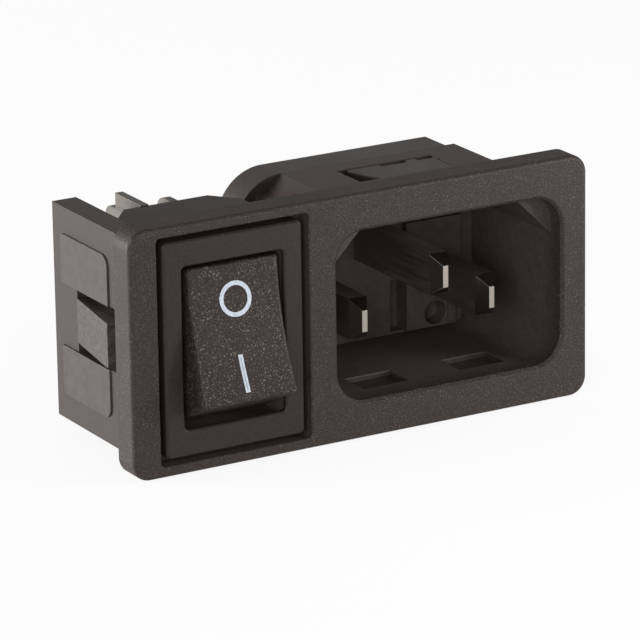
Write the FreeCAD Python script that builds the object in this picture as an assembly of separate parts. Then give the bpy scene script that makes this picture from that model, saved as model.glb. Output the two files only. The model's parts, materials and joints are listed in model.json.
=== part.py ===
import FreeCAD, Part
import math
import os

os.makedirs("parts", exist_ok=True)
V = FreeCAD.Vector

# Snap-in power entry module: a C14 inlet and a double-pole rocker switch in one bezel.
# Frame: +X to the right seen from the front, front face toward -Y, +Z up (earth pin side).
# The plane Y = 0 is the seat of the bezel on the panel. Millimetres.

# ---------------------------------------------------------------- openings and bezel plate
cav_w = 24.5             # inlet cavity
cav_h = 16.5
win_w = 15.8             # recess that takes the switch
win_h = 21.7
win_r = 0.4
win_bevel = 0.12
edge_left = 2.9          # plate beside the switch, between the two openings, beside the inlet
web = 2.95
edge_right = 2.85
edge_top = 1.05          # plate above and below the switch
plate_w = edge_left + win_w + web + cav_w + edge_right
plate_h = win_h + 2 * edge_top
plate_t = 2.9
plate_corner_r = 1.8
plate_edge_r = 0.4
front = -plate_t

# ---------------------------------------------------------------- body behind the panel
rim = 1.5                # the plate stands past the body by this much all round
body_x = plate_w / 2 - rim
wall_z = plate_h / 2 - rim
wall_t = 2.5
wall_depth = 15.3
wall_bevel = 0.4
latch_z = 2.15           # half width of the snap finger
latch_slot = 0.9         # slot above and below the finger
latch_tip_y = 2.05
latch_root_y = 10.3
latch_t = 1.5
latch_nose = 2.3         # the finger's tip thins over this length
latch_out = 1.25
latch_tip = 0.45         # flat at the end of the finger
latch_in = 0.25          # the finger's tip reaches this far inside the wall's face
panel_proud = 0.2        # raised panels on the outside of the wall
panel_y0 = 3.9
panel_y1 = 13.2
panel_top = 7.85
panel_r0 = 1.1           # outer corners, toward the plate
panel_r1 = 0.5
lug_out = 0.9
lug_z = 5.0
lug_half = 1.6
lug_len = 4.0

# ---------------------------------------------------------------- inlet
inlet_x = plate_w / 2 - edge_right - cav_w / 2
cav_r = 3.0
cav_chamfer = 4.2        # polarising corners, top side
ledge_depth = 2.0        # the cavity is a plain rounded rectangle this deep
lip_bevel = 0.3
tub_wall = 1.35
tub_roof = 1.95
tub_x0 = inlet_x - cav_w / 2 - tub_wall
tub_x1 = body_x
tub_z = cav_h / 2 + tub_roof
tub_chamfer = 4.0
tub_foot_r = 2.5
tub_end = 12.1
cap_end = 16.1
cap_left = 1.0           # the cap stands past the tub at the switch end
cap_r = 5.0
cap_chamfer = 5.0
cap_bevel = 0.3
back_wall = 13.3         # floor of the cavity
pad_proud = 0.8          # raised pad round each lower pin, from pad_x0 to pad_x1 of the pin
pad_x0 = -2.6
pad_x1 = 3.6
pad_z0 = -8.0
pad_z1 = 2.9
well_r = 1.2             # round well beside a lower pin
well_dx = 0.6
well_z = -6.6
well_end = 14.3
rib_x0 = 1.9             # rib beside the well
rib_x1 = 2.7
rib_z0 = -7.6
rib_z1 = -5.2
slot_x0 = 3.0            # slot between the earth pin and the neutral pin's pad
slot_x1 = 4.4
slot_z1 = -2.8
slot_end = 14.5
floor_x0 = 2.8           # shallow recesses in the cavity's lower wall
floor_x1 = 7.85
floor_y0 = 3.1
floor_y1 = 6.65
floor_dip = 0.5
pin_pitch = 14.0
pin_t = 2.0
pin_w = 4.0
pin_z = 2.0              # line and neutral this far below centre, earth as far above
pin_nose = 1.35
nose_t = 0.54
nose_w = 2.1
pin_tip = front + 4.05
earth_tip = front + 0.95
tab_t = 0.8
tab_w = 6.3
tab_len = 8.0
tab_point = 1.2          # lead-in of a tab's end
tab_hole_r = 0.75
tab_hole_at = 4.6        # hole to the shoulder
shank_w = 3.8
seat_depth = 1.2         # a pin's thick part stops this far inside the cap
arm_w = 9.0
arm_z0 = 9.05
arm_z1 = 9.6
arm_gap = 0.05
snap_x0 = 4.6            # windows in the tub that the insert's snap tongues rise into
snap_x1 = 15.0
snap_y0 = 5.4
snap_y1 = 9.9
tongue_rear = 1.0        # gap at the tongue's switch end, at its rear and at its tip
tongue_tip = 2.7
tongue_gap = 0.12
tongue_rim = 0.5
notch_deep = 0.7         # two notches in the tongue's rear edge
notch_x0 = 4.5           # first notch, from the window's switch end
notch_x1 = 7.4
notch_x2 = 8.5           # second notch, open at the far end

# ---------------------------------------------------------------- switch
sw_x = -plate_w / 2 + edge_left + win_w / 2
win_depth = 1.9
bez_w = win_w - 1.3
bez_h = win_h - 1.1
bez_front = front + 0.1
bez_r = 0.5
bez_bevel = 0.2
case_w = bez_w - 1.5
case_h = bez_h - 0.6
case_end = 9.95
case_gap = 0.15
case_step = 2.1          # each side of the case draws in by this much toward its rear end
case_taper = 2.6
barb_w = 5.0
barb_out = 0.35
barb_sink = 0.45         # the barbs latch in notches in the back of the plate
barb_len = 2.5
barb_flat = 0.3
notch_gap = 0.1
open_side = 1.18         # case to its opening, at the sides
open_end = 2.2           # and at the ends
open_w = case_w - 2 * open_side
open_h = case_h - 2 * open_end
open_r = 0.5
open_bevel = 0.15
lip_t = 0.5              # front lip of the opening
pivot_y = 0.2
tilt = 16.0              # half of the rocker's travel, degrees
side_room = 0.6          # rocker to the opening, at the sides
end_clear = 1.45         # and at the ends of its face
rocker_w = open_w - 2 * side_room
face_half = open_h / 2 - end_clear      # half length of the rocker face
face_back = 4.85         # pivot to the ends of the face
face_dish = 0.75
face_side_r = 0.35
face_end_r = 0.3
end_draft = 10.0         # slope of the rocker's end faces, degrees
skirt = 0.8              # end faces run this far behind the pivot
past = 1.0               # a cut runs this far past the face that it opens
skin = 1.15
rocker_gap = 0.35
rocker_r = math.hypot(face_half, face_back)
chamber_r = rocker_r + rocker_gap
chamber_floor = 3.2      # behind the pivot
pocket_end = 8.25        # behind the pivot
trunnion_r = 1.0
run_gap = 0.05           # running clearance
slot_gap = 0.02          # terminal to its slot
pole_dx = 2.2            # the two poles either side of the switch centre
pocket_w = 2.2
pocket_z = 9.2
lever_w = 1.9
lever_t = 0.5
lever_arm = 5.2
lever_tilt = 8.0         # half of the lever's travel, degrees
lever_pivot = 5.45       # behind the rocker pivot
lever_valley = 4.76
lever_v = 23.0
lever_bend = 1.47
plunger_r = 0.95
plunger_c = 3.62         # centre of the plunger's round end, behind the pivot
plunger_top = -0.6
plunger_bore_end = 3.0
bore_floor = -2.75
spring_r = 0.5
wire_r = 0.13
spring_gap = 0.04
spring_turns = 6
spring_sides = 10        # chords to a turn
fixed_face = 5.90
foot_front = 6.40
foot_t = 0.8
contact_z = 4.5
rivet_r = 0.4
silver_r = 0.8
silver_t = 0.55
fixed_r = 0.9
fixed_stem_r = 0.5
common_z0 = -5.2         # lower edge of the common terminals
switched_z0 = 2.9        # lower edge of the switched terminals
common_apex = 5.36       # lever's rocking edge, behind the pivot
common_end = 17.3
common_foot = 1.2        # the blade narrows to the lever's seat this far behind it
seat_slope = 0.25        # notch that the lever rocks in
seat_reach = 1.6
foot_in = 0.6            # the blade starts inside its foot
foot_h = 2.4
fixed_dz = 0.2           # the fixed contact sits a little above the moving one
hole_in = 2.2            # detent hole to the end of the blade
wing_z = 10.1            # top of the left switched terminal's wide blade
wing_end = 15.1
nose_end = 17.2
nose_top = 8.6
nose_h = 3.4
nose_r = 1.2
corner_r = 1.3
bridge_h = 3.2           # bridge across the rocker that carries the plungers
bridge_end = 2.6
bridge_r = 0.6
bridge_inset = 0.5
bridge_t = 0.8
end_room = 0.75          # depth of a trunnion's bearing
end_reach = 0.65
rest_h = 1.1             # rest for the lever's open arm


# ---------------------------------------------------------------- helpers
def box(x0, x1, y0, y1, z0, z1):
    return Part.makeBox(x1 - x0, y1 - y0, z1 - z0, V(x0, y0, z0))


def prism(points, away):
    """Flat outline drawn out along a vector."""
    return Part.Face(Part.makePolygon(points + points[:1])).extrude(away)


def prism_y(pts, y0, y1):
    """Outline of (x, z) points drawn out along Y."""
    return prism([V(x, y0, z) for x, z in pts], V(0, y1 - y0, 0))


def prism_x(pts, x0, x1):
    """Outline of (y, z) points drawn out along X."""
    return prism([V(x0, y, z) for y, z in pts], V(x1 - x0, 0, 0))


def prism_z(pts, z0, z1):
    """Outline of (x, y) points drawn out along Z."""
    return prism([V(x, y, z0) for x, y in pts], V(0, 0, z1 - z0))


def cyl_x(r, x0, x1, y, z):
    return Part.makeCylinder(r, x1 - x0, V(x0, y, z), V(1, 0, 0))


def cyl_y(r, y0, y1, x, z):
    return Part.makeCylinder(r, y1 - y0, V(x, y0, z), V(0, 1, 0))


def fillet(shape, r, test):
    edges = [e for e in shape.Edges if test(e)]
    return shape.makeFillet(r, edges) if edges else shape


def bevel(shape, size, test):
    return shape.makeChamfer(size, [e for e in shape.Edges if test(e)])


def runs_along(e, axis):
    """True for a straight edge parallel to the axis 'x', 'y' or 'z'."""
    spans = {"x": e.BoundBox.XLength, "y": e.BoundBox.YLength, "z": e.BoundBox.ZLength}
    length = spans.pop(axis)
    return length > 1e-3 and max(spans.values()) < 1e-4


def at(e, x=None, y=None, z=None):
    """True when the middle of the edge's box has the given coordinates."""
    c = e.BoundBox.Center
    return all(want is None or abs(got - want) < 1e-3 for got, want in ((c.x, x), (c.y, y), (c.z, z)))


def rounded_y(x0, x1, z0, z1, r, y0, y1):
    return fillet(box(x0, x1, y0, y1, z0, z1), r, lambda e: runs_along(e, "y"))


def in_plane(e, y, xc=0.0, half_x=100.0, half_z=100.0):
    """True for an edge in the plane Y = y, within half_x of xc and half_z of the middle."""
    b = e.BoundBox
    return (abs(b.YMin - y) < 1e-4 and abs(b.YMax - y) < 1e-4 and b.XMin > xc - half_x
            and b.XMax < xc + half_x and max(-b.ZMin, b.ZMax) < half_z)


def fuse(first, *rest):
    return first.fuse(list(rest)).removeSplitter()


def cut(shape, *tools):
    return shape.cut(list(tools))


def turn(shape, deg, y, z=0.0):
    """Turned about an axis along X through (y, z)."""
    s = shape.copy()
    s.rotate(V(0, y, z), V(1, 0, 0), deg)
    return s


def save(name, shape):
    if shape.ShapeType == "Compound" and len(shape.Solids) == 1:
        shape = shape.Solids[0]
    assert shape.isValid(), name
    shape.exportStep("parts/" + name + ".step")


# ================================================================ housing
def cavity(y0, y1, grow=0.0, chamfered=True):
    """Inside outline of the inlet, drawn out along Y."""
    hw, hh = cav_w / 2 + grow, cav_h / 2 + grow
    s = rounded_y(inlet_x - hw, inlet_x + hw, -hh, hh, cav_r, y0, y1)
    if chamfered:
        c = cav_chamfer
        keep = prism_y([(inlet_x - hw, -hh), (inlet_x + hw, -hh), (inlet_x + hw, hh - c),
                        (inlet_x + hw - c, hh), (inlet_x - hw + c, hh), (inlet_x - hw, hh - c)], y0, y1)
        s = s.common(keep)
    return s


def tub_outline(y0, y1):
    """Outside of the inlet's tub: bevelled at the top corners, rounded at the lower ones."""
    c = tub_chamfer
    s = prism_y([(tub_x0, -tub_z), (tub_x1, -tub_z), (tub_x1, tub_z - c), (tub_x1 - c, tub_z),
                 (tub_x0 + c, tub_z), (tub_x0, tub_z - c)], y0, y1)
    return fillet(s, tub_foot_r, lambda e: runs_along(e, "y") and at(e, z=-tub_z))


def raised_panel(side):
    """Low pad on the end wall, above (1) or below (-1) the snap finger."""
    lo, hi = sorted((side * (latch_z + latch_slot), side * panel_top))
    s = box(-body_x - panel_proud, -body_x + 0.5, panel_y0, panel_y1, lo, hi)
    s = fillet(s, panel_r0, lambda e: runs_along(e, "x") and at(e, y=panel_y0, z=side * panel_top))
    return fillet(s, panel_r1, lambda e: runs_along(e, "x") and at(e, y=panel_y1, z=side * panel_top))


def end_wall():
    """Wall beside the switch, with the snap finger between two slots and rooted at the rear."""
    s = box(-body_x, -body_x + wall_t, -0.5, wall_depth, -wall_z, wall_z)
    s = bevel(s, wall_bevel, lambda e: in_plane(e, wall_depth))
    zone = latch_z + latch_slot
    s = fuse(s, raised_panel(1), raised_panel(-1))
    s = cut(s, box(-body_x - 1, -body_x + wall_t + 1, 0.0, latch_root_y, -zone, zone))
    root = latch_root_y + 0.3
    finger = prism_z([(-body_x, root), (-body_x - latch_out, latch_tip_y + latch_tip),
                      (-body_x - latch_out, latch_tip_y), (-body_x + latch_in, latch_tip_y),
                      (-body_x + latch_t, latch_tip_y + latch_nose), (-body_x + latch_t, root)],
                     -latch_z, latch_z)
    return fuse(s, finger)


def lug(z):
    """Rigid wedge on the inlet end, which goes into the panel first."""
    inside, tip = body_x - 0.2, body_x + lug_out
    return prism_z([(inside, latch_tip_y), (tip, latch_tip_y), (tip, latch_tip_y + latch_tip),
                    (body_x, latch_tip_y + lug_len), (inside, latch_tip_y + lug_len)],
                   z - lug_half, z + lug_half)


plate = rounded_y(-plate_w / 2, plate_w / 2, -plate_h / 2, plate_h / 2, plate_corner_r, front, 0)
plate = fillet(plate, plate_edge_r, lambda e: in_plane(e, front))
housing = fuse(plate, tub_outline(-0.5, tub_end), end_wall(), lug(lug_z), lug(-lug_z))

# window for the switch: a recess for its bezel, a hole for its case, notches for its barbs
hw, hh = win_w / 2, win_h / 2
recess = rounded_y(sw_x - hw, sw_x + hw, -hh, hh, win_r, front - 1, front + win_depth)
hw, hh = case_w / 2 + case_gap, case_h / 2 + case_gap
notch_z = case_h / 2 + barb_out + notch_gap
notch_hw = barb_w / 2 + notch_gap
housing = cut(housing, recess, box(sw_x - hw, sw_x + hw, front, 1, -hh, hh),
              box(sw_x - notch_hw, sw_x + notch_hw, -barb_sink, 1, -notch_z, notch_z),
              cavity(front - 1, front + ledge_depth, 0.0, False), cavity(front - 1, tub_end + 1))

# snap windows in the tub's top and bottom, each with a tunnel to the rear for the insert's arm
for side in (1, -1):
    lo, hi = sorted((side * (arm_z0 - arm_gap), side * (tub_z + 1)))
    housing = cut(housing, box(snap_x0, snap_x1, snap_y0, snap_y1, lo, hi))
    lo, hi = sorted((side * (arm_z0 - arm_gap), side * (arm_z1 + arm_gap)))
    housing = cut(housing, box(inlet_x - arm_w / 2 - arm_gap, inlet_x + arm_w / 2 + arm_gap,
                               snap_y1 - 0.1, tub_end + 1, lo, hi))

# two shallow recesses in the cavity's lower wall
for side in (1, -1):
    lo, hi = sorted((inlet_x + side * floor_x0, inlet_x + side * floor_x1))
    housing = cut(housing, box(lo, hi, front + floor_y0, front + floor_y1,
                               -cav_h / 2 - floor_dip, -cav_h / 2 + 0.5))

housing = bevel(housing, lip_bevel, lambda e: in_plane(e, front, inlet_x, cav_w / 2 + 0.1, cav_h / 2 + 0.1))
housing = bevel(housing, win_bevel, lambda e: in_plane(e, front, sw_x, win_w / 2 + 0.1, win_h / 2 + 0.1))
save("housing", housing)


# ================================================================ inlet insert
def cap_outline():
    """Rear cap: round at the switch end, bevelled at the free top corner."""
    x0, c = tub_x0 - cap_left, cap_chamfer
    s = prism_y([(x0, -tub_z), (tub_x1, -tub_z), (tub_x1, tub_z - c), (tub_x1 - c, tub_z), (x0, tub_z)],
                tub_end, cap_end)
    s = fillet(s, cap_r, lambda e: runs_along(e, "y") and at(e, x=x0))
    s = fillet(s, tub_foot_r, lambda e: runs_along(e, "y") and at(e, x=tub_x1, z=-tub_z))
    return bevel(s, cap_bevel, lambda e: in_plane(e, cap_end))


def snap_arm(side):
    """Arm through the tunnel with a tongue that stands in the window, slanted at the switch end."""
    lo, hi = sorted((side * arm_z0, side * arm_z1))
    arm = box(inlet_x - arm_w / 2, inlet_x + arm_w / 2, snap_y1 - 0.8, tub_end + 0.5, lo, hi)
    rear, tip, far = snap_y1 - tongue_gap, snap_y0 + tongue_gap, snap_x1 - tongue_gap
    rim_y = rear - tongue_rim
    lo, hi = sorted((side * arm_z0, side * (tub_z - arm_gap)))
    tongue = prism_z([(snap_x0 + tongue_rear, rear), (far, rear), (far, tip), (snap_x0 + tongue_tip, tip),
                      (snap_x0 + tongue_rear, rim_y)], lo, hi)
    lo, hi = sorted((side * arm_z1, side * (tub_z + 1)))
    notches = [box(snap_x0 + a, snap_x0 + b, rear - notch_deep, rear + 1, lo, hi)
               for a, b in ((notch_x0, notch_x1), (notch_x2, snap_x1))]
    return fuse(arm, cut(tongue, *notches))


def pin_pad(side):
    """Raised pad round a lower pin, with a small rib on it."""
    px = inlet_x + side * pin_pitch / 2
    s = box(px + pad_x0, px + pad_x1, back_wall - pad_proud, back_wall + 0.5, pad_z0, pad_z1)
    rib = box(px + rib_x0, px + rib_x1, back_wall - 1.5 * pad_proud, back_wall, rib_z0, rib_z1)
    return fuse(s.common(cavity(tub_end, back_wall + 0.5, -0.2)), rib)


def pin_body(x, z, tip):
    """Flat contact pin with a tapered end, its shank through the insert and a flat tab behind."""
    ht, hw = pin_t / 2, pin_w / 2
    rings = []
    for y, a, b in ((tip, nose_t / 2, nose_w / 2), (tip + pin_nose, ht, hw)):
        rings.append(Part.makePolygon([V(x - a, y, z - b), V(x + a, y, z - b), V(x + a, y, z + b),
                                       V(x - a, y, z + b), V(x - a, y, z - b)]))
    nose = Part.makeLoft(rings, True, True)
    shank = box(x - ht, x + ht, tip + pin_nose, cap_end - seat_depth, z - hw, z + hw)
    neck = box(x - tab_t / 2, x + tab_t / 2, cap_end - seat_depth, cap_end, z - shank_w / 2, z + shank_w / 2)
    t0, t1, w, lead = cap_end, cap_end + tab_len, tab_w / 2, tab_point
    tab = prism_x([(t0, z - w), (t1 - lead, z - w), (t1, z - w + lead), (t1, z + w - lead),
                   (t1 - lead, z + w), (t0, z + w)], x - tab_t / 2, x + tab_t / 2)
    return fuse(nose, shank, neck, cut(tab, cyl_x(tab_hole_r, x - 1, x + 1, t0 + tab_hole_at, z)))


insert = cut(cap_outline(), cavity(tub_end - 1, back_wall))
insert = fuse(insert, pin_pad(1), pin_pad(-1), snap_arm(1), snap_arm(-1))
for side in (-1, 1):
    px = inlet_x + side * pin_pitch / 2
    insert = cut(insert, cyl_y(well_r, tub_end, well_end, px + well_dx, well_z))
insert = cut(insert, box(inlet_x + slot_x0, inlet_x + slot_x1, tub_end, slot_end, pad_z0, slot_z1))
pins = {"line_pin": (inlet_x - pin_pitch / 2, -pin_z, pin_tip),
        "neutral_pin": (inlet_x + pin_pitch / 2, -pin_z, pin_tip),
        "earth_pin": (inlet_x, pin_z, earth_tip)}
for name, (x, z, tip) in pins.items():
    seat, hp, hs = cap_end - seat_depth, pin_w / 2, shank_w / 2
    insert = cut(insert, box(x - pin_t / 2, x + pin_t / 2, tub_end - 1, seat, z - hp, z + hp),
                 box(x - tab_t / 2, x + tab_t / 2, seat - 1, cap_end + 1, z - hs, z + hs))
    save(name, pin_body(x, z, tip))
save("inlet_insert", insert)

# ================================================================ switch case
cx0, cx1 = sw_x - case_w / 2, sw_x + case_w / 2
ledge_y = front + win_depth
case = prism_z([(cx0, ledge_y - 0.5), (cx1, ledge_y - 0.5), (cx1, case_end - case_taper),
                (cx1 - case_step, case_end), (cx0 + case_step, case_end), (cx0, case_end - case_taper)],
               -case_h / 2, case_h / 2)
bezel = rounded_y(sw_x - bez_w / 2, sw_x + bez_w / 2, -bez_h / 2, bez_h / 2, bez_r, bez_front, ledge_y)
bezel = bevel(bezel, bez_bevel, lambda e: in_plane(e, bez_front))
case = fuse(case, bezel)
for side in (1, -1):
    y0, inner, outer = run_gap - barb_sink, side * (case_h / 2 - 0.2), side * (case_h / 2 + barb_out)
    case = fuse(case, prism_x([(y0, inner), (y0, outer), (y0 + barb_flat, outer),
                               (y0 + barb_len, side * (case_h / 2 - 0.01)), (y0 + barb_len, inner)],
                              sw_x - barb_w / 2, sw_x + barb_w / 2))
ow = open_w / 2
ox0, ox1 = sw_x - ow, sw_x + ow
mouth = rounded_y(ox0, ox1, -open_h / 2, open_h / 2, open_r, bez_front - 1, pivot_y - 1)
drum = cyl_x(chamber_r, ox0, ox1, pivot_y, 0)
drum = drum.common(box(ox0, ox1, bez_front + lip_t, pivot_y + chamber_floor, -chamber_r, chamber_r))
case = cut(case, mouth, drum)
for side in (-1, 1):
    px = sw_x + side * pole_dx
    back = pivot_y + pocket_end
    case = cut(case, box(px - pocket_w / 2, px + pocket_w / 2, pivot_y + chamber_floor - 0.5, back,
                         -pocket_z, pocket_z))
    # slots for the two terminals of this pole, and the lever's rest behind its open arm
    for z0 in (switched_z0, common_z0):
        half = tab_t / 2 + slot_gap
        case = cut(case, box(px - half, px + half, back - 0.5, case_end + past,
                             z0 - slot_gap, z0 + tab_w + slot_gap))
    case = fuse(case, box(px - pocket_w / 2 - 0.2, px + pocket_w / 2 + 0.2, pivot_y + lever_pivot,
                          back + 0.3, common_z0 - 0.1 - rest_h, common_z0 - 0.1))
    # bearing for the rocker's trunnion
    t0, t1 = sorted((sw_x + side * (ow - 0.2), sw_x + side * (ow + end_room)))
    case = cut(case, cyl_x(trunnion_r + run_gap, t0, t1, pivot_y, 0))
case = bevel(case, open_bevel, lambda e: in_plane(e, bez_front, sw_x, ow + 0.1, open_h / 2 + 0.1))
save("switch_case", case)

# ================================================================ rocker
rw = rocker_w / 2
face_y = pivot_y - face_back
foot_y = pivot_y + skirt
foot_z = face_half + math.tan(math.radians(end_draft)) * (face_back + skirt)
start = V(sw_x - rw, face_y, -face_half)
end = V(sw_x - rw, face_y, face_half)
heel_hi = V(sw_x - rw, foot_y, foot_z)
heel_lo = V(sw_x - rw, foot_y, -foot_z)
face_arc = Part.Arc(start, V(sw_x - rw, face_y + face_dish, 0), end).toShape()
straight = [Part.makeLine(a, b) for a, b in ((end, heel_hi), (heel_hi, heel_lo), (heel_lo, start))]
body = Part.Face(Part.Wire([face_arc] + straight)).extrude(V(rocker_w, 0, 0))
sides = [e for e in body.Edges if e.BoundBox.XLength < 1e-4 and e.BoundBox.YMax < face_y + face_dish + 0.05]
body = body.makeFillet(face_side_r, sides)
ends = [e for e in body.Edges if e.BoundBox.XLength > rocker_w - 1 and e.BoundBox.YMax < face_y + 0.2]
body = body.makeFillet(face_end_r, ends)
# hollow behind the face, with a bridge that guides the two plungers
body = cut(body, box(sw_x - rw + skin, sw_x + rw - skin, face_y + face_dish + skin, foot_y + past,
                     skin - face_half, face_half - skin))
bridge = box(sw_x - rw + bridge_inset, sw_x + rw - bridge_inset, face_y + face_dish + bridge_t,
             pivot_y + bridge_end, -bridge_h / 2, bridge_h / 2)
bridge = fillet(bridge, bridge_r, lambda e: in_plane(e, pivot_y + bridge_end) and runs_along(e, "x"))
body = fuse(body, bridge)
for side in (-1, 1):
    t0, t1 = sorted((sw_x + side * (rw - 0.3), sw_x + side * (ow + end_reach)))
    body = fuse(body, cyl_x(trunnion_r, t0, t1, pivot_y, 0))
    body = cut(body, cyl_y(plunger_r + run_gap, pivot_y + bore_floor,
                            pivot_y + plunger_bore_end + past, sw_x + side * pole_dx, 0))
save("rocker", turn(body, -tilt, pivot_y))


# ================================================================ poles
def plunger(px):
    """Hollow pin with a round end."""
    c = pivot_y + plunger_c
    s = fuse(cyl_y(plunger_r, pivot_y + plunger_top, c, px, 0), Part.makeSphere(plunger_r, V(px, c, 0)))
    bore_r = spring_r + wire_r + spring_gap
    return cut(s, cyl_y(bore_r, pivot_y + plunger_top - 1, pivot_y + plunger_bore_end, px, 0))


def spring(px):
    """Coil of short straight chords with a square wire, from the rocker's bore into the plunger."""
    y0 = pivot_y + bore_floor + wire_r + slot_gap
    rise = pivot_y + plunger_bore_end - wire_r - slot_gap - y0
    steps = spring_turns * spring_sides
    path = []
    for i in range(steps + 1):
        a = 2 * math.pi * i / spring_sides
        path.append(V(px + spring_r * math.cos(a), y0 + rise * i / steps, spring_r * math.sin(a)))
    way = path[1] - path[0]
    out = V(path[0].x - px, 0, 0).normalize()
    up = way.cross(out).normalize() * wire_r
    out = out * wire_r
    ring = Part.makePolygon([path[0] + out, path[0] + up, path[0] - out, path[0] - up, path[0] + out])
    return Part.Wire(Part.makePolygon(path).Edges).makePipeShell([ring], True, True, 1)


def lever_parts(px):
    """Seesaw contact arm, a vee at the middle and two flat arms, and its silver rivet."""
    k = math.tan(math.radians(lever_v))
    f = pivot_y + lever_valley
    flat = f - lever_bend * k
    back = flat + lever_t
    crease = f + lever_t / math.cos(math.radians(lever_v))
    heel = lever_bend + 0.1
    arm = prism_x([(flat, -lever_arm), (flat, -lever_bend), (f, 0), (flat, lever_bend), (flat, lever_arm),
                   (back, lever_arm), (back, heel), (crease, 0), (back, -heel), (back, -lever_arm)],
                  px - lever_w / 2, px + lever_w / 2)
    arm = cut(arm, cyl_y(rivet_r, flat - 1, back + 1, px, contact_z))
    head = cyl_y(silver_r, back, back + silver_t, px, contact_z)
    return arm, fuse(head, cyl_y(rivet_r, flat, back + 0.1, px, contact_z))


def switched_terminal(px, side):
    """Foot under the fixed contact and a blade through the case; the left one widens behind it."""
    ht = tab_t / 2
    foot_y, z0, z1 = pivot_y + foot_front, switched_z0, switched_z0 + tab_w
    if side < 0:
        shoulder = case_end + slot_gap
        blade = prism_x([(foot_y + foot_in, z0), (foot_y + foot_in, z1), (shoulder, z1), (shoulder, wing_z),
                         (wing_end, wing_z), (wing_end, z0 + corner_r), (wing_end - corner_r, z0)],
                        px - ht, px + ht)
        nose = box(px - ht, px + ht, wing_end - 1, nose_end, nose_top - nose_h, nose_top)
        nose = fillet(nose, nose_r, lambda e: runs_along(e, "x") and at(e, y=nose_end))
        blade = fuse(blade, nose)
    else:
        blade = box(px - ht, px + ht, foot_y + foot_in, wing_end, z0, z1)
        blade = fillet(blade, corner_r, lambda e: runs_along(e, "x") and at(e, y=wing_end))
    fz = contact_z + fixed_dz
    foot = box(px - lever_w / 2, px + lever_w / 2, foot_y, foot_y + foot_t, fz - foot_h / 2, fz + foot_h / 2)
    return cut(fuse(blade, foot), cyl_y(fixed_stem_r, foot_y - 1, foot_y + foot_t - 0.1, px, fz),
               cyl_x(tab_hole_r, px - 1, px + 1, wing_end - hole_in, z0 + tab_w / 2))


def common_terminal(px):
    """Blade with the shallow notch that the lever rocks in."""
    apex, z0, z1 = pivot_y + common_apex, common_z0, common_z0 + tab_w
    foot, lead = apex + common_foot, common_end - tab_point
    s = prism_x([(apex, 0), (apex - z1 * seat_slope, z1), (lead, z1), (common_end, z1 - tab_point),
                 (common_end, z0 + tab_point), (lead, z0), (foot, z0), (foot, -seat_reach),
                 (apex - seat_reach * seat_slope, -seat_reach)], px - tab_t / 2, px + tab_t / 2)
    return cut(s, cyl_x(tab_hole_r, px - 1, px + 1, lead - hole_in, z0 + tab_w / 2))


for side, tag in ((-1, "left"), (1, "right")):
    px = sw_x + side * pole_dx
    save("plunger_" + tag, turn(plunger(px), -tilt, pivot_y))
    save("plunger_spring_" + tag, turn(spring(px), -tilt, pivot_y))
    arm, rivet = lever_parts(px)
    save("contact_lever_" + tag, turn(arm, lever_tilt, pivot_y + lever_pivot))
    save("moving_contact_" + tag, turn(rivet, lever_tilt, pivot_y + lever_pivot))
    face, foot = pivot_y + fixed_face, pivot_y + foot_front
    button = cyl_y(fixed_r, face, foot, px, contact_z + fixed_dz)
    stem = cyl_y(fixed_stem_r, foot - 0.1, foot + foot_t - 0.1, px, contact_z + fixed_dz)
    save("fixed_contact_" + tag, fuse(button, stem))
    save("switched_terminal_" + tag, switched_terminal(px, side))
    save("common_terminal_" + tag, common_terminal(px))
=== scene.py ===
import json
import math

import bmesh
import bpy
from mathutils import Matrix, Vector
from mathutils.bvhtree import BVHTree


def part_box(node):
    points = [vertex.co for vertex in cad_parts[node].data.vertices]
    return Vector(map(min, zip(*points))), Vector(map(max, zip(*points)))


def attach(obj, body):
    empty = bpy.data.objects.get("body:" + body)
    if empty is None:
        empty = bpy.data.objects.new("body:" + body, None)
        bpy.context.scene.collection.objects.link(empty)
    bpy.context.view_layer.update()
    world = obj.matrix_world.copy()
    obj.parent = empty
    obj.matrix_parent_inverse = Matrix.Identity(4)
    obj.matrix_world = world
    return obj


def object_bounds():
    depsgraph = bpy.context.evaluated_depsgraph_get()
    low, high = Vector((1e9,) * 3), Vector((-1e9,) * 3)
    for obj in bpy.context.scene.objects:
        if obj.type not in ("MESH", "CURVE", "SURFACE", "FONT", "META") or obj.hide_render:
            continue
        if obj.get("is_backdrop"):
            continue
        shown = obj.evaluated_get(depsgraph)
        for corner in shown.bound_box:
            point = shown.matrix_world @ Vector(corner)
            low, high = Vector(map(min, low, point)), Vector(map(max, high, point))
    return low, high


MM = 0.001

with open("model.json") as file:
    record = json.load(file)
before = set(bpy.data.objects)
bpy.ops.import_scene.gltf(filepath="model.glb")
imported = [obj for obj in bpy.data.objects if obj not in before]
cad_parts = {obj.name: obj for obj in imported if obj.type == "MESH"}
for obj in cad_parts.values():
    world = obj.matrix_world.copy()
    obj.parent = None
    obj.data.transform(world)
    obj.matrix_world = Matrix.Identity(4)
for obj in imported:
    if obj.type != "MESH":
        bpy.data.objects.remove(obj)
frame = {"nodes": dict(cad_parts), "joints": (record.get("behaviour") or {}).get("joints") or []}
cad_lo, cad_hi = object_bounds()
nodes = frame["nodes"]
joints = {j["name"]: j for j in frame["joints"]}

# ------------------------------------------------------------------ shader building blocks
NOISE_LOW, NOISE_HIGH = 0.3, 0.7       # most values of a noise lie between these
NUMBER_A, NUMBER_B = 2, 3              # the Mix node's sockets for numbers
COLOR_A, COLOR_B = 6, 7                # and for colours
NUMBER_OUT, COLOR_OUT = 0, 2
BEVEL_SAMPLES = 4


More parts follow.
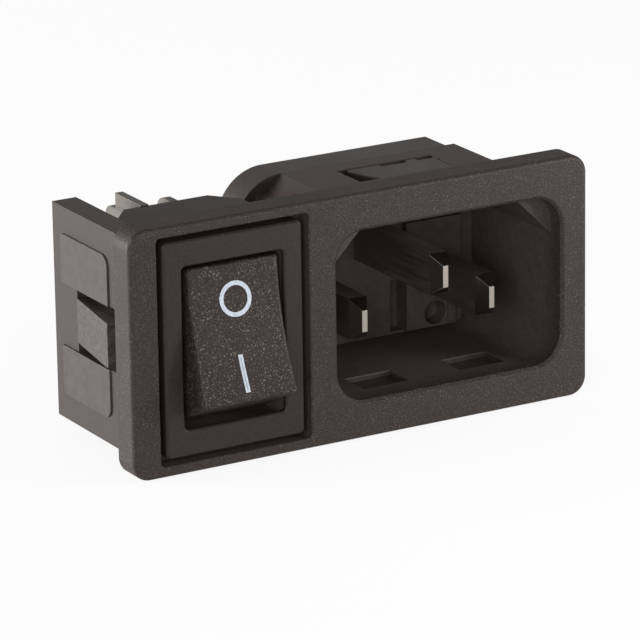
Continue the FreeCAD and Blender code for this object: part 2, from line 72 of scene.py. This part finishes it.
def new_material(name):
    """A material that holds a principled shader and its output."""
    mat = bpy.data.materials.new(name)
    mat.use_nodes = True
    tree = mat.node_tree
    tree.nodes.clear()
    out = tree.nodes.new("ShaderNodeOutputMaterial")
    shader = tree.nodes.new("ShaderNodeBsdfPrincipled")
    tree.links.new(shader.outputs["BSDF"], out.inputs["Surface"])
    return mat, tree, shader


def number(tree, operation, first, second):
    """The result of a Math node; second is a socket or a fixed number."""
    node = tree.nodes.new("ShaderNodeMath")
    node.operation = operation
    tree.links.new(first, node.inputs[0])
    if isinstance(second, float):
        node.inputs[1].default_value = second
    else:
        tree.links.new(second, node.inputs[1])
    return node.outputs[0]


def vector(tree, operation, first, second):
    """The result of a Vector Math node; first and second are sockets or fixed vectors."""
    node = tree.nodes.new("ShaderNodeVectorMath")
    node.operation = operation
    for value, socket in zip((first, second), node.inputs):
        if isinstance(value, Vector):
            socket.default_value = value
        else:
            tree.links.new(value, socket)
    return node.outputs[0]


def noise(tree, scale, detail=2.0, rough=0.5, stretch=(1, 1, 1)):
    """Noise in the part's own coordinates; scale is in features per metre."""
    coord = tree.nodes.new("ShaderNodeTexCoord")
    mapping = tree.nodes.new("ShaderNodeMapping")
    mapping.inputs["Scale"].default_value = stretch
    tex = tree.nodes.new("ShaderNodeTexNoise")
    tex.inputs["Scale"].default_value = scale
    tex.inputs["Detail"].default_value = detail
    tex.inputs["Roughness"].default_value = rough
    tree.links.new(coord.outputs["Object"], mapping.inputs["Vector"])
    tree.links.new(mapping.outputs["Vector"], tex.inputs["Vector"])
    return tex.outputs["Fac"]


def ramp(tree, fac, places, colors):
    """fac as a colour: colors[0] up to places[0], colors[1] from places[1], even in between."""
    node = tree.nodes.new("ShaderNodeValToRGB")
    for point, place, color in zip(node.color_ramp.elements, places, colors):
        point.position = place
        point.color = (*color, 1)
    tree.links.new(fac, node.inputs["Fac"])
    return node.outputs["Color"]


def remap(tree, fac, low, high):
    """A noise as a number from low to high."""
    node = tree.nodes.new("ShaderNodeMapRange")
    node.inputs["From Min"].default_value = NOISE_LOW
    node.inputs["From Max"].default_value = NOISE_HIGH
    node.inputs["To Min"].default_value = low
    node.inputs["To Max"].default_value = high
    tree.links.new(fac, node.inputs["Value"])
    return node.outputs["Result"]


def bump(tree, height, strength, distance, normal):
    node = tree.nodes.new("ShaderNodeBump")
    node.inputs["Strength"].default_value = strength
    node.inputs["Distance"].default_value = distance
    tree.links.new(height, node.inputs["Height"])
    tree.links.new(normal, node.inputs["Normal"])
    return node.outputs["Normal"]


def soft_edges(tree, radius):
    node = tree.nodes.new("ShaderNodeBevel")
    node.samples = BEVEL_SAMPLES
    node.inputs["Radius"].default_value = radius
    return node.outputs["Normal"]


def inside(tree, lo, hi, fade):
    """1 inside the box from lo to hi in the part's own coordinates and 0 outside.

    fade is how deep inside the box, along each axis, the mask reaches 1.
    """
    place = tree.nodes.new("ShaderNodeTexCoord").outputs["Object"]
    least = vector(tree, "MINIMUM", vector(tree, "SUBTRACT", place, lo), vector(tree, "SUBTRACT", hi, place))
    axes = tree.nodes.new("ShaderNodeSeparateXYZ")
    tree.links.new(vector(tree, "DIVIDE", least, fade), axes.inputs[0])
    depth = axes.outputs["X"]
    for axis in ("Y", "Z"):
        depth = number(tree, "MINIMUM", depth, axes.outputs[axis])
    border = tree.nodes.new("ShaderNodeMapRange")
    tree.links.new(depth, border.inputs["Value"])
    return border.outputs["Result"]


def blend(tree, mask, first, second):
    """Mixes two colours, or two numbers where second is a number, by a mask."""
    node = tree.nodes.new("ShaderNodeMix")
    if isinstance(second, float):
        tree.links.new(first, node.inputs[NUMBER_A])
        node.inputs[NUMBER_B].default_value = second
        result = node.outputs[NUMBER_OUT]
    else:
        node.data_type = "RGBA"
        tree.links.new(first, node.inputs[COLOR_A])
        if isinstance(second, tuple):
            node.inputs[COLOR_B].default_value = (*second, 1)
        else:
            tree.links.new(second, node.inputs[COLOR_B])
        result = node.outputs[COLOR_OUT]
    tree.links.new(mask, node.inputs["Factor"])
    return result


# ------------------------------------------------------------------ materials
FLOW_SCALE = 120.0                     # flow marks in the gloss of a moulding, per metre
GLOSS_SWING = 0.04                     # and how far they take its roughness up and down
GRAIN_RAMP = (0.38, 0.62)
ZONE_RAMP = (0.35, 0.65)
GRAIN_STRENGTH = 0.6
FLAT = 0.5                             # height of the relief where a zone has no grain
GLINT_SPECK_SIZE, GLINT_PATCH_SIZE = 1.35, 0.12    # pale speckles painted in as glints, and patches rich in them, as shares of the grain's scale
GLINT_SPECK_RISE = (-0.02, 0.05)             # a speck's soft border, before and past its threshold
FEWEST_GLINT_SPECKS = 0.25
STREAK_SCALE, STAIN_SCALE = 2500.0, 350.0
STAIN_RAMP = (0.35, 0.60)
STREAK_SWING = (-0.05, 0.08)           # how far streaks take the roughness down and up
STREAK_STRENGTH = 0.05
BLACK, WHITE = (0.0, 0.0, 0.0), (1.0, 1.0, 1.0)
LONG_Y, LONG_Z = (1, 0.05, 1), (1, 1, 0.05)    # streaks drawn out along Y or Z


def plastic(name, tone, rough, grain, grain_depth, edge=0.12 * MM, specular=0.3, glint_specks=None, zones=()):
    """Moulded plastic: spark grain, faint flow variation in gloss, and pale speckles painted in as glints.

    tone is a (dark, light) pair. The speckle argument is (threshold, colour): pale speckles painted in as
    glints. Each zone is (lo, hi, fade, tone, rough, mottle): a box of the moulding with its own tone,
    roughness and coarser mottling. Some zones are places that the tool left smoother; others are painted
    light, a lighter tone inside a recess where shade falls.
    """
    mat, tree, shader = new_material(name)
    fine = noise(tree, grain, detail=3.0, rough=0.65)
    broad = noise(tree, FLOW_SCALE)
    color = ramp(tree, fine, GRAIN_RAMP, tone)
    # pale speckles painted into the colour as glints, denser in some patches
    if glint_specks:
        threshold, pale = glint_specks
        glint_spot = noise(tree, GLINT_SPECK_SIZE * grain, detail=0.0)
        patch = noise(tree, GLINT_PATCH_SIZE * grain, detail=1.0)
        glint_amount = ramp(tree, glint_spot, [threshold + rise for rise in GLINT_SPECK_RISE], (BLACK, WHITE))
        glint_amount = number(tree, "MULTIPLY", glint_amount, remap(tree, patch, FEWEST_GLINT_SPECKS, 1.0))
        color = blend(tree, glint_amount, color, pale)
    gloss = remap(tree, broad, rough - GLOSS_SWING, rough + GLOSS_SWING)
    relief = fine
    # a zone's tone can be painted light: a lighter colour inside a recess, where shade falls
    for lo, hi, fade, zone_tone, zone_rough, mottle in zones:
        mask = inside(tree, lo, hi, fade)
        smooth = noise(tree, mottle * grain, detail=3.0, rough=0.6)
        color = blend(tree, mask, color, ramp(tree, smooth, ZONE_RAMP, zone_tone))
        gloss = blend(tree, mask, gloss, zone_rough)
        relief = blend(tree, mask, relief, FLAT)
    tree.links.new(color, shader.inputs["Base Color"])
    tree.links.new(gloss, shader.inputs["Roughness"])
    shader.inputs["Specular IOR Level"].default_value = specular
    normal = bump(tree, relief, GRAIN_STRENGTH, grain_depth, soft_edges(tree, edge))
    tree.links.new(normal, shader.inputs["Normal"])
    return mat


def metal(name, color, rough, streak=(1, 1, 1), edge=0.08 * MM, stain=0.86, scratch=0.01 * MM, zones=()):
    """Plated strip with rolling streaks and faint stains.

    stain is how bright a stain is against color. Each zone is (lo, hi, fade, rough).
    """
    mat, tree, shader = new_material(name)
    line = noise(tree, STREAK_SCALE, stretch=streak)
    patch = noise(tree, STAIN_SCALE, detail=3.0)
    dull = tuple(c * stain for c in color)
    tree.links.new(ramp(tree, patch, STAIN_RAMP, (dull, color)), shader.inputs["Base Color"])
    shader.inputs["Metallic"].default_value = 1.0
    gloss = remap(tree, line, *(rough + swing for swing in STREAK_SWING))
    for lo, hi, fade, zone_rough in zones:
        gloss = blend(tree, inside(tree, lo, hi, fade), gloss, zone_rough)
    tree.links.new(gloss, shader.inputs["Roughness"])
    normal = bump(tree, line, STREAK_STRENGTH, scratch, soft_edges(tree, edge))
    tree.links.new(normal, shader.inputs["Normal"])
    return mat


# ------------------------------------------------------------------ zones of the pieces
# Each zone is (lo, hi, fade), a box that is found on the frame's own pieces. A piece's own
# coordinates are the frame's.
housing_tree = BVHTree.FromObject(nodes["housing"], bpy.context.evaluated_depsgraph_get())


def reach(start, direction):
    """Where a ray inside or outside the housing first meets it."""
    return housing_tree.ray_cast(Vector(start), Vector(direction))[0]


skin = 0.15 * MM              # a zone reaches this far past the faces that it takes in
border = 0.06 * MM            # width of a zone's soft border
grow = Vector((skin, 0, skin))
sharp = Vector((border, border, border))
crisp = sharp / 3

plate_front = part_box("housing")[0].y
body_back = cad_hi.y

# the inlet's cavity, with painted light: a lighter tone on its walls where shade falls, coming in gradually
# from the mouth
mouth_band = 0.4 * MM
mouth_fade = 3.0 * MM
cavity_probe = 2 * MM
earth_lo, earth_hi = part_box("earth_pin")
cav_mid = ((earth_lo.x + earth_hi.x) / 2, cavity_probe, 0)
cav_lo = Vector((reach(cav_mid, (-1, 0, 0)).x, plate_front + mouth_band, reach(cav_mid, (0, 0, -1)).z))
cav_hi = Vector((reach(cav_mid, (1, 0, 0)).x, body_back, -cav_lo.z))
cavity = (cav_lo - grow, cav_hi + grow, Vector((border, mouth_fade, border)))

# all of the housing behind the plate
behind_lo = Vector((cad_lo.x, 0, cad_lo.z)) - grow
behind_hi = Vector((cad_hi.x, body_back, cad_hi.z)) + grow
behind_plate = (behind_lo, behind_hi, sharp)

# the panels and the finger that stand out of the end wall
wall_probe_y, wall_probe_z = 1.5 * MM, 9 * MM      # a place on the wall ahead of the panels and above both
wall_face = reach((2 * cad_lo.x, wall_probe_y, wall_probe_z), (1, 0, 0)).x
relief_start = 0.3 * MM
relief_step = 0.03 * MM
finger_half = 2.2 * MM
relief_lo = Vector((cad_lo.x, relief_start, cad_lo.z))
relief_hi = Vector((wall_face - relief_step, body_back, cad_hi.z))
raised = (relief_lo, relief_hi, crisp)
finger = (Vector((relief_lo.x, relief_lo.y, -finger_half)),
          Vector((relief_hi.x, relief_hi.y, finger_half)), sharp)

# the edge of the plate's window round the switch case, with painted light: a lighter tone in the shaded gap
# round the case
window_band = 0.25 * MM
window_margin = Vector((0.75 * MM, 0, 0.65 * MM))
bezel_lo, bezel_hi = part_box("switch_case")
window = (Vector((bezel_lo.x, plate_front + window_band, bezel_lo.z)) - window_margin,
          Vector((bezel_hi.x, 0, bezel_hi.z)) + window_margin, sharp)

# the brighter ends of the pins
nose_length = 1.4 * MM
nose_rough = 0.16
noses = []
for name in ("line_pin", "neutral_pin", "earth_pin"):
    lo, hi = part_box(name)
    noses.append((lo - grow, Vector((hi.x, lo.y + nose_length, hi.z)) + grow, crisp, nose_rough))

# the walls of the chamber that the rocker turns in, with painted light: a lighter tone in the shade round
# the rocker
chamber_band = 0.7 * MM
chamber_past = 2 * MM
chamber_margin = Vector((0.9 * MM, 0, 1.5 * MM))
rocker_lo, rocker_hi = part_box("rocker")
chamber = (Vector((rocker_lo.x, plate_front + chamber_band, rocker_lo.z)) - chamber_margin,
           Vector((rocker_hi.x, rocker_hi.y + chamber_past, rocker_hi.z)) + chamber_margin, sharp)

# ------------------------------------------------------------------ dressing the frame's pieces
# Tones of the plastics, each from its darkest to its lightest place.
plate_tone = ((0.014, 0.0095, 0.008), (0.027, 0.0185, 0.0155))
rear_tone = ((0.024, 0.017, 0.0148), (0.034, 0.0248, 0.0218))
panel_tone = ((0.038, 0.0292, 0.0262), (0.050, 0.040, 0.036))
finger_tone = ((0.030, 0.0235, 0.021), (0.064, 0.052, 0.047))
# painted light: a lighter tone on the shaded walls of the switch window
window_painted_light_tone = ((0.034, 0.0255, 0.0225), (0.044, 0.0335, 0.030))
# painted light: a lighter tone inside the inlet's shaded cavity
cavity_painted_light_tone = ((0.042, 0.0315, 0.028), (0.055, 0.042, 0.0375))
insert_tone = ((0.022, 0.016, 0.014), (0.028, 0.021, 0.0185))
# painted light: a lighter tone on the insert's end inside the shaded cavity
cavity_end_painted_light_tone = ((0.040, 0.030, 0.0265), (0.053, 0.040, 0.0355))
case_tone = ((0.016, 0.0112, 0.0093), (0.022, 0.0156, 0.0132))
# painted light: a lighter tone in the shaded chamber round the rocker
chamber_painted_light_tone = ((0.048, 0.036, 0.032), (0.060, 0.0455, 0.040))
rocker_tone = ((0.011, 0.0073, 0.006), (0.024, 0.0165, 0.0137))
acetal_tone = ((0.62, 0.58, 0.50), (0.70, 0.66, 0.58))

mats = {
    "housing": plastic(
        "housing_grain", plate_tone, rough=0.58, grain=5600.0, grain_depth=0.035 * MM, specular=0.24,
        # pale speckles painted in as glints
        glint_specks=(0.68, (0.085, 0.072, 0.065)),
        zones=[(*behind_plate, rear_tone, 0.50, 0.6), (*raised, panel_tone, 0.46, 0.25),
               # the window zone paints light on the window's shaded walls
               (*finger, finger_tone, 0.46, 0.4), (*window, window_painted_light_tone, 0.52, 0.3),
               # painted light inside the shaded cavity
               (*cavity, cavity_painted_light_tone, 0.52, 0.3)]),
    "insert": plastic(
        "insert_satin", insert_tone, rough=0.46, grain=3000.0, grain_depth=0.01 * MM,
        # painted light on the insert inside the shaded cavity
        zones=[(*cavity, cavity_end_painted_light_tone, 0.50, 0.3)]),
    "case": plastic(
        "case_satin", case_tone, rough=0.46, grain=3500.0, grain_depth=0.008 * MM, specular=0.20,
        # painted light in the shaded chamber round the rocker
        zones=[(*chamber, chamber_painted_light_tone, 0.5, 0.3)]),
    "rocker": plastic(
        "rocker_grain", rocker_tone, rough=0.55, grain=5200.0, grain_depth=0.05 * MM, specular=0.20,
        # pale speckles painted in as glints
        glint_specks=(0.665, (0.12, 0.103, 0.092))),
    "plunger": plastic("plunger_acetal", acetal_tone, rough=0.38, grain=900.0, grain_depth=0.003 * MM),
    "pin": metal("pin_nickel", (0.32, 0.283, 0.252), rough=0.42, streak=LONG_Y, edge=0.10 * MM, stain=0.94,
                 scratch=0, zones=noses),
    "terminal": metal("terminal_tin", (0.13, 0.118, 0.108), rough=0.42, streak=LONG_Y),
    "lever": metal("lever_copper", (0.80, 0.52, 0.36), rough=0.30, streak=LONG_Z),
    "silver": metal("contact_silver", (0.82, 0.81, 0.78), rough=0.34),
    "spring": metal("spring_wire", (0.56, 0.56, 0.56), rough=0.25),
}
dress = {
    "housing": "housing", "inlet_insert": "insert", "switch_case": "case", "rocker": "rocker",
    "line_pin": "pin", "neutral_pin": "pin", "earth_pin": "pin",
}
pole_dress = {
    "plunger": "plunger", "plunger_spring": "spring", "contact_lever": "lever", "moving_contact": "silver",
    "fixed_contact": "silver", "switched_terminal": "terminal", "common_terminal": "terminal",
}
for side in ("left", "right"):
    for stem, key in pole_dress.items():
        dress[stem + "_" + side] = key
for name, key in dress.items():
    data = nodes[name].data
    if not data.materials:
        data.materials.append(mats[key])
    for i in range(len(data.materials)):
        data.materials[i] = mats[key]

# ------------------------------------------------------------------ switch marks
pivot = Vector(joints["rocker_turn"]["pos_m"])
half_travel = math.radians(joints["rocker_turn"]["range_deg"][1] / 2)
face_up = Vector((0, math.sin(half_travel), math.cos(half_travel)))
face_normal = Vector((0, -math.cos(half_travel), math.sin(half_travel)))
face_across = face_up.cross(face_normal)
rocker_tree = BVHTree.FromObject(nodes["rocker"], bpy.context.evaluated_depsgraph_get())

ray_room = 12                          # mm in front of a mark's middle, where the rays to the face start
ink_lift = 0.02 * MM
off_up, on_down = 3.0 * MM, 3.85 * MM
on_left = 0.35 * MM
ring_r, ring_stroke = 1.66 * MM, 0.42 * MM
bar_half, bar_stroke = 1.75 * MM, 0.48 * MM
bar_slit = 0.02 * MM                   # the bar is a loop round a slit, and this is half its width
ring_points, bar_steps = 64, 12
INK_SCALE = 4000.0

ink, ink_tree, ink_shader = new_material("mark_ink")
ink_fine = noise(ink_tree, INK_SCALE, detail=3.0)
ink_tone = ((0.31, 0.34, 0.385), (0.41, 0.44, 0.495))
ink_tree.links.new(ramp(ink_tree, ink_fine, ZONE_RAMP, ink_tone), ink_shader.inputs["Base Color"])
ink_shader.inputs["Roughness"].default_value = 0.5


def circle(r):
    angles = [2 * math.pi * i / ring_points for i in range(ring_points)]
    return [(r * math.cos(a), r * math.sin(a)) for a in angles]


def bar(w, h):
    """Outline of a straight bar, with points all the way up its sides so that it follows the face."""
    side = [(w, -h + 2 * h * i / bar_steps) for i in range(bar_steps + 1)]
    return side + [(-u, v) for u, v in reversed(side)]


def print_on(name, rings, origin):
    """A thin mark on the rocker's face. rings are closed loops of (across, up) points, inner to outer."""
    mesh = bmesh.new()
    placed = []
    for ring in rings:
        row = []
        for u, v in ring:
            start = origin + face_across * u + face_up * v + face_normal * ray_room * MM
            hit = rocker_tree.ray_cast(start, -face_normal)[0]
            row.append(mesh.verts.new(hit + face_normal * ink_lift))
        placed.append(row)
    for a, b in zip(placed, placed[1:]):
        n = len(a)
        for i in range(n):
            mesh.faces.new((a[i], a[(i + 1) % n], b[(i + 1) % n], b[i]))
    bmesh.ops.recalc_face_normals(mesh, faces=mesh.faces)
    for face in mesh.faces:
        if face.normal.dot(face_normal) < 0:
            face.normal_flip()
    data = bpy.data.meshes.new(name)
    mesh.to_mesh(data)
    mesh.free()
    obj = bpy.data.objects.new(name, data)
    bpy.context.scene.collection.objects.link(obj)
    data.materials.append(ink)
    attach(obj, "rocker_body")


print_on("mark_off", [circle(ring_r - ring_stroke), circle(ring_r - ring_stroke / 2), circle(ring_r)],
         pivot + face_up * off_up)
print_on("mark_on", [bar(bar_slit, bar_half - bar_stroke / 2), bar(bar_stroke / 2, bar_half)],
         pivot - face_up * on_down - face_across * on_left)

# ------------------------------------------------------------------ stage
FLOOR_SIZE = 6.0
FLOOR_GAP = 0.0002                     # metres under the part
FLOOR_WHITE = 0.86
FLOOR_GLOW = 0.88                      # share of white that background rays find on the floor
WORLD_STRENGTH = 0.5


def background_rays(tree):
    """1 for rays that should find the white background: from the camera, metal or glass."""
    path = tree.nodes.new("ShaderNodeLightPath")
    total = path.outputs["Is Camera Ray"]
    for kind in ("Is Glossy Ray", "Is Transmission Ray"):
        total = number(tree, "MAXIMUM", total, path.outputs[kind])
    return total


bpy.ops.mesh.primitive_plane_add(size=FLOOR_SIZE, location=(0, 0, cad_lo.z - FLOOR_GAP))
floor = bpy.context.object
floor.name = "floor"
floor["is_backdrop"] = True
floor_mat, floor_tree, floor_shader = new_material("floor_pale")
floor_shader.inputs["Base Color"].default_value = (FLOOR_WHITE, FLOOR_WHITE, FLOOR_WHITE, 1)
floor_shader.inputs["Roughness"].default_value = 0.9
floor_shader.inputs["Specular IOR Level"].default_value = 0.1
glow = floor_tree.nodes.new("ShaderNodeEmission")
glow.inputs["Strength"].default_value = 1.0
mix = floor_tree.nodes.new("ShaderNodeMixShader")
factor = number(floor_tree, "MULTIPLY", background_rays(floor_tree), FLOOR_GLOW)
floor_out = [n for n in floor_tree.nodes if n.type == "OUTPUT_MATERIAL"][0]
floor_tree.links.new(factor, mix.inputs["Fac"])
floor_tree.links.new(floor_shader.outputs["BSDF"], mix.inputs[1])
floor_tree.links.new(glow.outputs["Emission"], mix.inputs[2])
floor_tree.links.new(mix.outputs["Shader"], floor_out.inputs["Surface"])
floor.data.materials.append(floor_mat)

world = bpy.data.worlds.new("world")
bpy.context.scene.world = world
world.use_nodes = True
world_tree = world.node_tree
world_tree.nodes.clear()
background = world_tree.nodes.new("ShaderNodeBackground")
world_out = world_tree.nodes.new("ShaderNodeOutputWorld")
background.inputs["Color"].default_value = (*WHITE, 1)
background.inputs["Strength"].default_value = WORLD_STRENGTH
world_tree.links.new(background.outputs["Background"], world_out.inputs["Surface"])


def softbox(name, place, aim, size, power):
    """A rectangular lamp; place, aim and size are in metres and power in watts."""
    lamp = bpy.data.lights.new(name, "AREA")
    lamp.shape = "RECTANGLE"
    lamp.size, lamp.size_y = size
    lamp.energy = power
    obj = bpy.data.objects.new(name, lamp)
    bpy.context.scene.collection.objects.link(obj)
    obj.location = place
    obj.rotation_euler = (Vector(aim) - Vector(place)).to_track_quat("-Z", "Y").to_euler()


softbox("left", place=(-0.62, 0.35, 0.05), aim=(0, 0, 0), size=(0.5, 0.15), power=11.0)
softbox("front", place=(-0.42, -0.52, 0.16), aim=(0, 0, 0), size=(0.45, 0.30), power=3.3)
softbox("right", place=(0.13, -0.10, 0.03), aim=(0.01, 0, 0), size=(0.06, 0.06), power=0.24)

# ------------------------------------------------------------------ camera
azimuth, elevation, roll = math.radians(29.82), math.radians(17.53), math.radians(-0.90)
distance = 0.4548                      # metres from the eye to the plate's front, along the view
lens_ratio = 7.678                     # focal length in frame widths
aim_right, aim_up = 4.13 * MM, 0.36 * MM    # the plate's middle, right of and above the picture's
sensor_width = 36.0                    # mm
near_clip, far_clip = 0.01, 20.0       # metres

eye_dir = Vector((math.sin(azimuth) * math.cos(elevation), math.cos(azimuth) * math.cos(elevation),
                  -math.sin(elevation)))
flat_right = Vector((math.cos(azimuth), -math.sin(azimuth), 0))
flat_up = flat_right.cross(eye_dir)
cam_right = flat_right * math.cos(roll) + flat_up * math.sin(roll)
cam_up = flat_up * math.cos(roll) - flat_right * math.sin(roll)
target = Vector((0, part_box("housing")[0].y, 0))
camera_data = bpy.data.cameras.new("camera")
camera_data.sensor_width = sensor_width
camera_data.lens = sensor_width * lens_ratio
camera_data.clip_start = near_clip
camera_data.clip_end = far_clip
camera = bpy.data.objects.new("camera", camera_data)
bpy.context.scene.collection.objects.link(camera)
eye = target - cam_right * aim_right - cam_up * aim_up - eye_dir * distance
basis = Matrix((cam_right, cam_up, -eye_dir)).transposed().to_4x4()
camera.matrix_world = Matrix.Translation(eye) @ basis
bpy.context.scene.camera = camera
bpy.context.scene.view_settings.view_transform = "Standard"

lo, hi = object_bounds()
